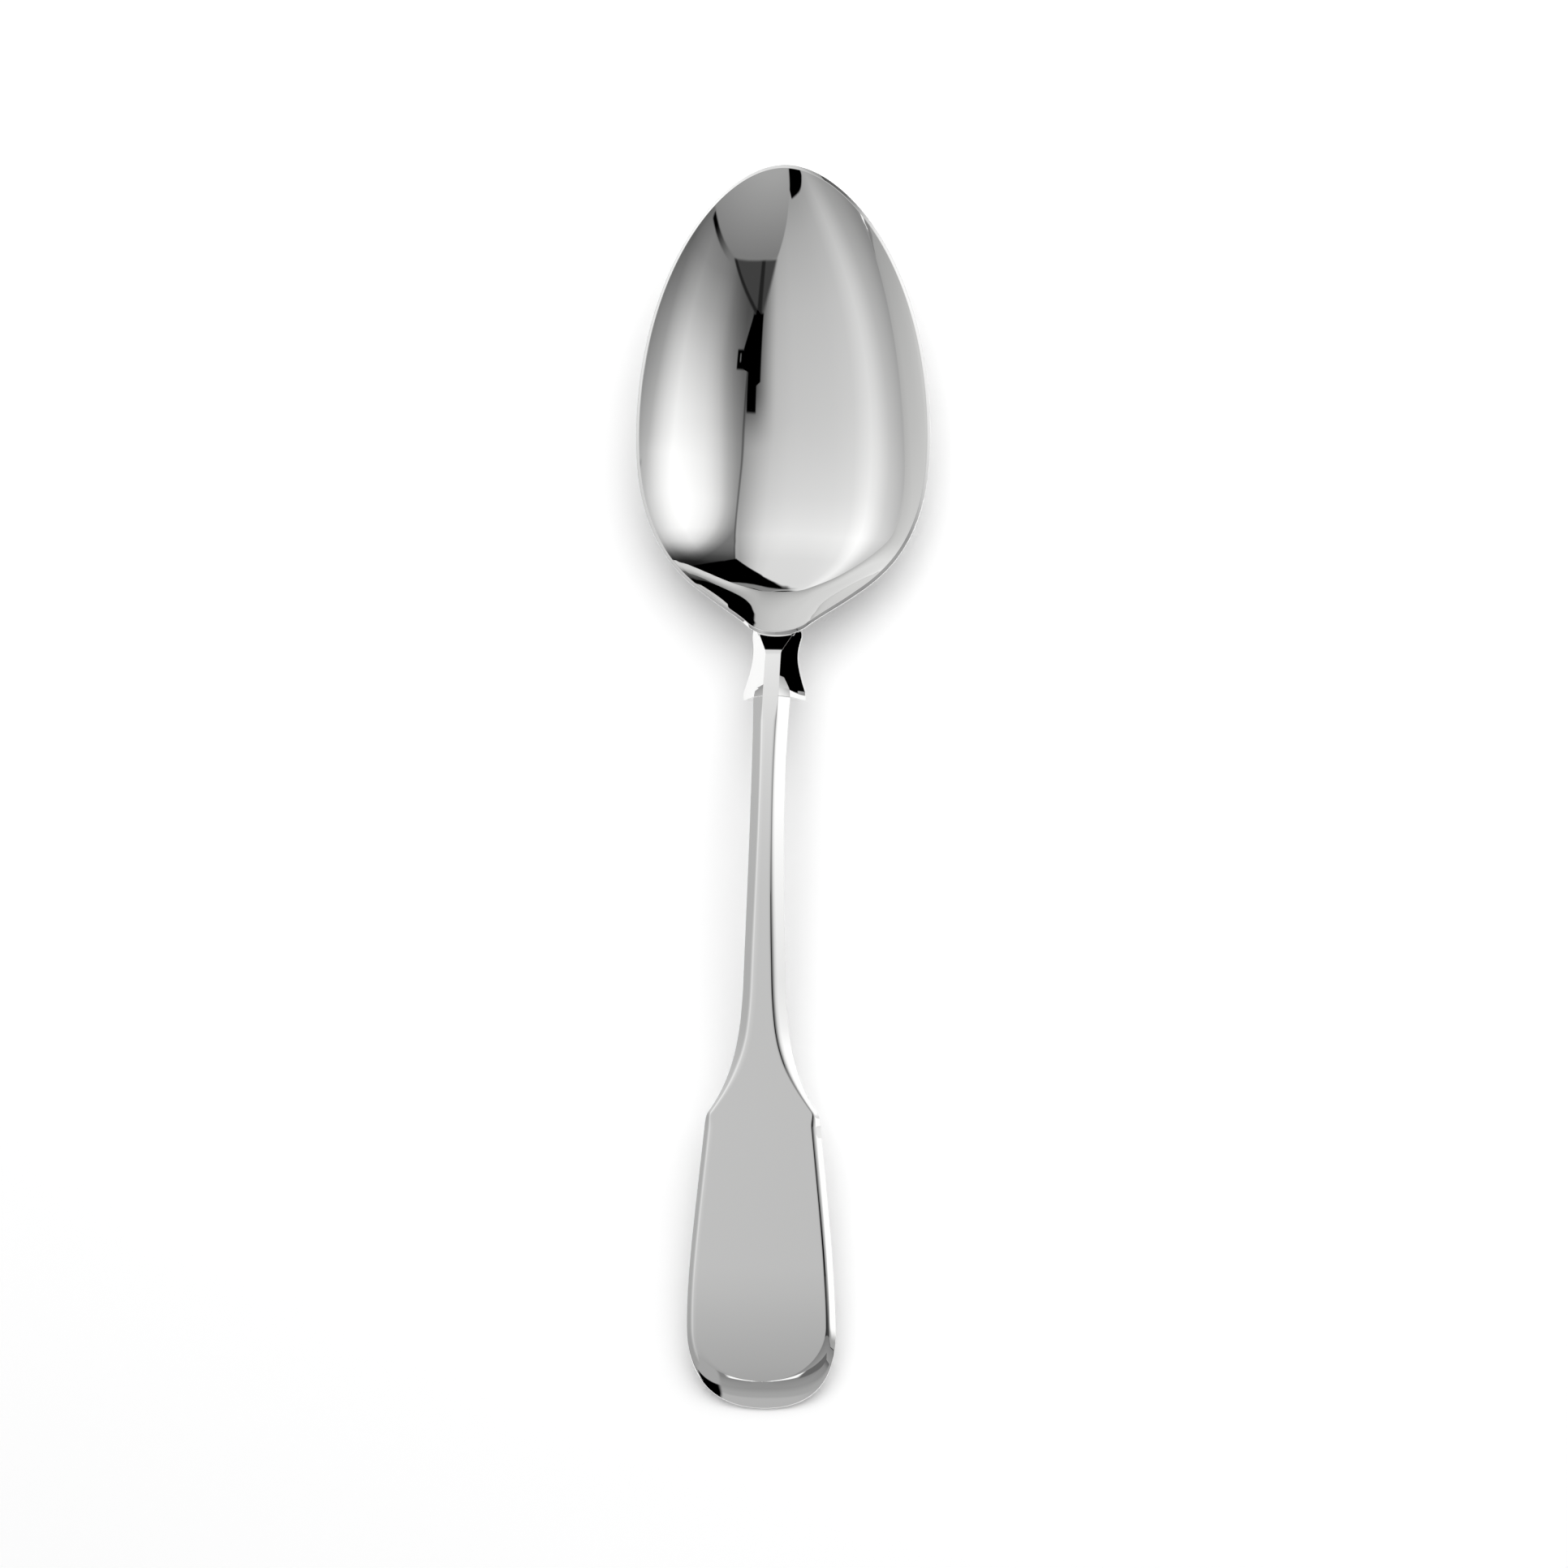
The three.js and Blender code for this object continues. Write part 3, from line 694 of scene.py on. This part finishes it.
def makeFloor():
    mesh = bpy.data.meshes.new("floor")
    half, low = studio["floorSize"] / 2, -studio["floorGap"]
    corners = [(-half, -half, low), (half, -half, low), (half, half, low), (-half, half, low)]
    mesh.from_pydata(corners, [], [(0, 1, 2, 3)])
    floor = addObject("floor", mesh)
    material, tree = bareMaterial("paleFloor")
    paint = Wire.add(tree, "ShaderNodeBsdfDiffuse", {}, {"Color": studio["floorColour"]})
    lift = seenRays(tree) * studio["floorLift"]
    glow = Wire.add(tree, "ShaderNodeEmission", {}, {"Color": lift, "Strength": 1.0})
    both = Wire.add(tree, "ShaderNodeAddShader", {}, {0: paint, 1: glow})
    Wire.add(tree, "ShaderNodeOutputMaterial", {}, {"Surface": both})
    mesh.materials.append(material)


# Masks and tones of what only reflections show

def placeParts(tree):
    place = Wire.add(tree, "ShaderNodeTexCoord", output="Object")
    return [Wire.add(tree, "ShaderNodeSeparateXYZ", {}, {"Vector": place}, axis) for axis in "XYZ"]


def past(value, limit, soft):  # an edge: 0 before the limit, 1 after it
    return Wire.add(value.tree, "ShaderNodeMapRange", {"interpolation_type": "SMOOTHSTEP"}, {
        "Value": value - limit, "From Min": -soft, "From Max": soft, "To Min": 0.0, "To Max": 1.0,
    })


def within(value, low, high, soft):  # a band between two edges
    return past(value, low, soft) * (1 - past(value, high, soft))


def beyond(value, start):  # how far the value is past the start
    return (value - start).atLeast(0)


def shortOf(value, start):
    return (start - value).atLeast(0)


def profile(value, stops):  # tones at places, with straight runs between
    top = max(level for _, level in stops)
    low, high = stops[0][0], stops[-1][0]
    share = (value - low) / (high - low)
    places = [((angle - low) / (high - low), level / top) for angle, level in stops]
    return Wire.add(value.tree, "ShaderNodeValToRGB", {"stops": places}, {"Fac": share}) * top


def over(below, panel, mask):
    return below + (panel - below) * mask


def showReflected(mesh, material, tone):  # adds a glowing mesh that only reflections show
    tree = material.node_tree
    glow = Wire.add(tree, "ShaderNodeEmission", {}, {"Color": tone / silver["colour"][0], "Strength": 1.0})
    Wire.add(tree, "ShaderNodeOutputMaterial", {}, {"Surface": glow})
    mesh.materials.append(material)
    made = addObject(mesh.name, mesh)
    made.visible_camera = made.visible_diffuse = made.visible_shadow = made.visible_transmission = False


# Tent, with panels placed in degrees from straight up: across, round the Y axis, and along, towards the tip

# The tent glows with painted tones, brighter and darker parts, shade and black shapes among them, which the
# metal shows as painted reflections; it lights nothing.
tent = {"radius": 0.6, "segments": (96, 48), "opening": 0.25, "floorGap": 0.0003}  # metres

sidePanels = {  # the two large panels, left and right of a seam
    "leftAcross": ((-100, 0.22), (-90, 0.28), (-80, 0.40), (-70, 0.50), (-60, 0.67), (-55, 0.72),
                   (-50, 0.68), (-43, 0.61), (-30, 0.58), (-10, 0.56), (0, 0.51), (5, 0.445), (16, 0.28)),
    "leftAlong": ((-60, 0.50), (-50, 0.58), (-40, 0.70), (-20, 0.88), (0, 1.0), (10, 1.1), (20, 1.2),
                  (28, 1.32), (35, 1.42), (42, 1.35), (50, 1.25), (70, 1.2)),
    "rightRise": ((14, 0.18), (20, 0.29), (25, 0.42), (30, 0.61), (35, 0.74), (40, 0.83),
                  (50, 0.93), (60, 1.0)),
    "rightFall": ((62, 1.0), (70, 0.82), (75, 0.66), (80, 0.47), (95, 0.24)),
    "rightAlong": ((-50, 0.16), (-40, 0.19), (-30, 0.26), (-20, 0.42), (-10, 0.65), (0, 0.84), (10, 1.02),
                   (20, 1.1), (32, 1.1), (40, 0.95), (45, 0.70), (50, 0.36), (56, 0.12)),
    "farFrom": 20, "farShift": 0.035,  # the right's rise moves out towards the tip and the neck
    "nearFrom": 5, "nearShift": 0.25, "nearMost": 4.0,
    "leanFrom": 10, "lean": 0.35,  # and its fall moves in
    "seam": 15.7, "seamLean": 0.1, "seamSoft": 0.4,
    "lineLeft": 0.5, "lineRight": 0.7, "lineSoft": 0.5, "lineDepth": 0.55,  # a dark line on the seam
    "shadeFrom": (5, 7), "shadeSoft": 1, "shadeUpTo": (1, 6), "shadeDepth": 0.8,  # left of the seam
}


def sidesTone(across, along):
    left = profile(across, sidePanels["leftAcross"]) * profile(along, sidePanels["leftAlong"])
    nearShift = shortOf(along, sidePanels["nearFrom"]) * sidePanels["nearShift"]
    farShift = beyond(along, sidePanels["farFrom"]) ** 2 * sidePanels["farShift"]
    shift = farShift + nearShift.atMost(sidePanels["nearMost"])
    lean = beyond(along, sidePanels["leanFrom"]) * sidePanels["lean"]
    right = profile(across - shift, sidePanels["rightRise"])
    right = right * profile(across + lean, sidePanels["rightFall"])
    right = right * profile(along, sidePanels["rightAlong"])
    seam = sidePanels["seam"] + along * sidePanels["seamLean"]
    lineLeft, lineRight = seam - sidePanels["lineLeft"], seam + sidePanels["lineRight"]
    line = within(across, lineLeft, lineRight, sidePanels["lineSoft"])
    shade = past(across, *sidePanels["shadeFrom"]) * (1 - past(across, seam, sidePanels["shadeSoft"]))
    shade = shade * (1 - past(along, *sidePanels["shadeUpTo"]))
    tone = over(left, right, past(across, seam, sidePanels["seamSoft"]))
    return tone * (1 - line * sidePanels["lineDepth"]) * (1 - shade * sidePanels["shadeDepth"])


backPanel = {  # a grey panel behind the spoon's end, and a black corner at its right
    "tones": ((-75, 0.38), (-62, 0.36), (-50, 0.29), (-36, 0.20)),
    "edge": -34.5, "edgeSoft": 0.8, "leftFall": 0.9, "rightFrom": 35, "rightFall": 0.2,
    "cornerAcross": (36, 69, 1), "cornerRise": 2.2, "cornerSoft": 0.5, "cornerFade": (50, 14),
}


def backEdge(across):
    rightFall = beyond(across, backPanel["rightFrom"]) * backPanel["rightFall"]
    return backPanel["edge"] + across.atMost(0) * backPanel["leftFall"] - rightFall


def backTone(tone, across, along):
    panel = 1 - past(along, backEdge(across), backPanel["edgeSoft"])
    return over(tone, profile(along, backPanel["tones"]), panel)


def cornerBlack(across, along):
    edge = backEdge(across)
    corner = within(across, *backPanel["cornerAcross"])
    corner = corner * within(along, edge, edge + backPanel["cornerRise"], backPanel["cornerSoft"])
    return corner * past(across, *backPanel["cornerFade"])


stand = {  # a small black stand beside the seam, and a shade that widens below its foot
    "left": 7.6, "right": 18.4, "bodySoft": 0.4, "bodyAlong": (-20.8, -0.6, 0.4),
    "taperFrom": -13, "taper": 0.6,
    "rightStep": (-8.6, 0.4), "rightIn": 3.6, "leftStep": (-6.1, 0.5), "leftIn": 2.1,
    "loopAcross": (17, 22, 0.4), "loopAlong": (-12.9, -8.7, 0.35),
    "holeAcross": (19.6, 20.2, 0.3), "holeAlong": (-12, -10.3, 0.3),
    "foot": -20, "shadeAlong": (-34.5, -19, 0.5), "shadeTone": 0.05,
    "shadeLeft": 8.5, "leftSpread": 0.6, "leftSoft": 1.5,
    "shadeRight": 12, "rightSpread": 1.7, "rightSoft": 0.8,
    "streakLeft": 9, "streakRights": (12, 11.5), "streakSoft": 0.8, "streakDepth": 0.7,
}


def standBlack(across, along):
    left = stand["left"] + past(along, *stand["leftStep"]) * stand["leftIn"]
    right = stand["right"] - shortOf(along, stand["taperFrom"]) * stand["taper"]
    right = right - past(along, *stand["rightStep"]) * stand["rightIn"]
    body = within(across, left, right, stand["bodySoft"]) * within(along, *stand["bodyAlong"])
    loop = within(across, *stand["loopAcross"]) * within(along, *stand["loopAlong"])
    hole = within(across, *stand["holeAcross"]) * within(along, *stand["holeAlong"])
    return body.atLeast(loop * (1 - hole))


def standShade(tone, across, along):
    below = stand["foot"] - along
    slant = below * stand["rightSpread"]
    shade = past(across, stand["shadeLeft"] - below * stand["leftSpread"], stand["leftSoft"])
    shade = shade * (1 - past(across, stand["shadeRight"] + slant, stand["rightSoft"]))
    shade = shade * within(along, *stand["shadeAlong"])
    upright, slanted = stand["streakRights"]  # two darker streaks in the shade
    streaks = within(across, stand["streakLeft"], upright, stand["streakSoft"])
    streaks = streaks + within(across, slant + stand["streakLeft"], slant + slanted, stand["streakSoft"])
    return over(tone, stand["shadeTone"], shade) * (1 - shade * stand["streakDepth"] * streaks)


farPanel = {  # beyond the tip: a grey panel, and black from two slanted edges up to it
    "greyFrom": (73.5, 0.8), "greyAcross": (-36, 5), "greyTone": 0.22,
    "leftEdge": 61.5, "leftFall": 0.37, "leftBend": 0.009,
    "rightEdge": 47, "rightRise": 0.19, "edgeSoft": 0.6,
    "blackAcross": (-40, 72, 1), "blackUpTo": (74.5, 0.6),
    "topEdge": 75.3, "topStep": (-34, 3), "topRise": 3.2, "topSoft": 0.5,
}


def farTone(tone, across, along):
    panel = past(along, *farPanel["greyFrom"]) * past(across, *farPanel["greyAcross"])
    return over(tone, farPanel["greyTone"], panel)


def farBlack(across, along):
    leftEdge = farPanel["leftEdge"] - across * farPanel["leftFall"]
    leftEdge = leftEdge - across.atLeast(0) ** 2 * farPanel["leftBend"]
    edge = leftEdge.atLeast(farPanel["rightEdge"] + across * farPanel["rightRise"])
    black = past(along, edge, farPanel["edgeSoft"]) * within(across, *farPanel["blackAcross"])
    black = black * (1 - past(along, *farPanel["blackUpTo"]))
    topEdge = farPanel["topEdge"] + past(across, *farPanel["topStep"]) * farPanel["topRise"]
    return black.atLeast(past(along, topEdge, farPanel["topSoft"]))


flags = {  # a black flag at the right, and a black drop at the left of the back
    "rightFrom": (82.5, 1), "rightAlong": (12, 70, 1),
    "dropLeft": -50.5, "dropRight": -24, "dropRightFrom": -55, "dropRightLean": 1.33, "dropSideSoft": 0.6,
    "dropLow": -63, "dropHigh": -51.8, "dropHighFrom": -36, "dropHighBend": 0.015, "dropSoft": 0.5,
}


def rightBlack(across, along):
    return past(across, *flags["rightFrom"]) * within(along, *flags["rightAlong"])


def dropBlack(across, along):
    right = flags["dropRight"] - shortOf(along, flags["dropRightFrom"]) * flags["dropRightLean"]
    high = flags["dropHigh"] - shortOf(across, flags["dropHighFrom"]) ** 2 * flags["dropHighBend"]
    drop = within(across, flags["dropLeft"], right, flags["dropSideSoft"])
    return drop * within(along, flags["dropLow"], high, flags["dropSoft"])


def tentMesh():
    columns, rows = tent["segments"]
    shape = bmesh.new()
    bmesh.ops.create_uvsphere(shape, u_segments=columns, v_segments=rows, radius=tent["radius"])
    inside = [v for v in shape.verts if v.co.z < 0 and v.co.xy.length < tent["opening"]]
    bmesh.ops.delete(shape, geom=inside, context="VERTS")
    for vertex in shape.verts:  # the lower half lies on the floor, as a ring round the opening
        vertex.co.z = max(vertex.co.z, tent["floorGap"])
    mesh = bpy.data.meshes.new("tent")
    shape.to_mesh(mesh)
    shape.free()
    mesh.shade_smooth()
    return mesh


def makeTent():
    mesh = tentMesh()
    material, tree = bareMaterial("tentPanels")
    x, y, z = placeParts(tree)
    across = x.math("ARCTAN2", x, z) * math.degrees(1)
    along = y.math("ARCSINE", y / tent["radius"]) * math.degrees(1)
    tone = sidesTone(across, along)
    for panel in (backTone, standShade, farTone):
        tone = panel(tone, across, along)
    for black in (standBlack, farBlack, rightBlack, dropBlack, cornerBlack):
        tone = tone * (1 - black(across, along))
    showReflected(mesh, material, tone)


# Cards by the blade and behind the end, in millimetres, placed where the bowl doesn't show them

sideCard = {  # glowing white, right of the blade: it paints a highlight on the blade's bevel
    "x": 35.0, "y": (-112.0, -58.0), "z": (12.0, 33.0),
    "tones": (0.35, 1.0), "fade": (-103, 4),
}
endCard = {  # behind the end, glowing, to paint the reflection on its roll: grey, with a white strip on top, a black foot at the left and a darker part at the upper right
    "y": -200.0, "x": (-115.0, 85.0), "z": (3.0, 105.0),
    "tones": ((12, 0.44), (18, 0.37), (35, 0.355), (50, 0.31), (62, 0.26), (72, 0.22)),
    "footEdge": (-50, 3), "footTop": (47, 3), "toneOverFoot": 0.37,
    "stripAcross": (-40, 3, 3), "stripFrom": (76, 3), "stripTone": 1.0,
    "darkFrom": (5, 2), "darkAbove": (68, 3), "darkTone": 0.13,
}


def cardMesh(name, corners):
    mesh = bpy.data.meshes.new(name)
    mesh.from_pydata([Vector(corner) * mm for corner in corners], [], [(0, 1, 2, 3)])
    return mesh


def makeSideCard():
    x = sideCard["x"]
    (rear, front), (low, high) = sideCard["y"], sideCard["z"]
    mesh = cardMesh("sideCard", [(x, rear, low), (x, front, low), (x, front, high), (x, rear, high)])
    material, tree = bareMaterial("whiteCard")
    dim, bright = sideCard["tones"]
    along = placeParts(tree)[1] / mm
    showReflected(mesh, material, dim + past(along, *sideCard["fade"]) * (bright - dim))


def makeEndCard():
    y = endCard["y"]
    (left, right), (low, high) = endCard["x"], endCard["z"]
    mesh = cardMesh("endCard", [(left, y, low), (right, y, low), (right, y, high), (left, y, high)])
    material, tree = bareMaterial("endCard")
    x, _, z = (part / mm for part in placeParts(tree))
    leftEnd = 1 - past(x, *endCard["footEdge"])
    overFoot = past(z, *endCard["footTop"])
    tone = over(profile(z, endCard["tones"]), endCard["toneOverFoot"], leftEnd * overFoot)
    tone = tone * (1 - leftEnd * (1 - overFoot))
    strip = within(x, *endCard["stripAcross"]) * past(z, *endCard["stripFrom"])
    tone = over(tone, endCard["stripTone"], strip)
    dark = past(x, *endCard["darkFrom"]) * past(z, *endCard["darkAbove"])
    showReflected(mesh, material, over(tone, endCard["darkTone"], dark))


def makeWorld():
    world = bpy.data.worlds.new("studio")
    scene.world = world
    world.use_nodes = True
    tree = world.node_tree
    tree.nodes.clear()
    strength = studio["ambient"] + seenRays(tree) * (1 - studio["ambient"])
    sky = Wire.add(tree, "ShaderNodeBackground", {}, {"Color": (1, 1, 1, 1), "Strength": strength})
    Wire.add(tree, "ShaderNodeOutputWorld", {}, {"Surface": sky})


def makeLamp():
    light = bpy.data.lights.new("softLamp", "AREA")
    light.shape = "DISK"
    light.size = studio["lampSize"]
    light.energy = studio["lampEnergy"]
    lamp = addObject("softLamp", light)
    lamp.location = studio["lampPlace"]
    lamp.rotation_euler = Vector(studio["lampPlace"]).to_track_quat("Z", "Y").to_euler()
    lamp.visible_glossy = False


view = {  # degrees, the distance and clip in metres, the frame and its middle in millimetres
    "leanBack": 11.0, "leanRight": 9.0, "distance": 6.0, "frameWidth": 265.07, "middle": (0.055, 2.195),
    "sensor": 36.0, "clipEnd": 50.0,
}


def makeCamera():
    lens = bpy.data.cameras.new("camera")
    lens.sensor_width = view["sensor"]
    lens.lens = view["sensor"] * view["distance"] / (view["frameWidth"] * mm)
    lens.clip_end = view["clipEnd"]
    camera = addObject("camera", lens)
    leanBack, leanRight = math.radians(view["leanBack"]), math.radians(view["leanRight"])
    turn = Matrix.Rotation(leanBack, 3, "X") @ Matrix.Rotation(leanRight, 3, "Y")
    aim = turn @ Vector((*view["middle"], 0)) * mm
    camera.location = aim + turn @ Vector((0, 0, view["distance"]))
    camera.rotation_euler = turn.to_euler()
    scene.camera = camera


makeFloor()
makeTent()
makeSideCard()
makeEndCard()
makeWorld()
makeLamp()
makeCamera()
scene.view_settings.view_transform = "Standard"
print("studio: floor, tent, two cards, world, lamp and camera")
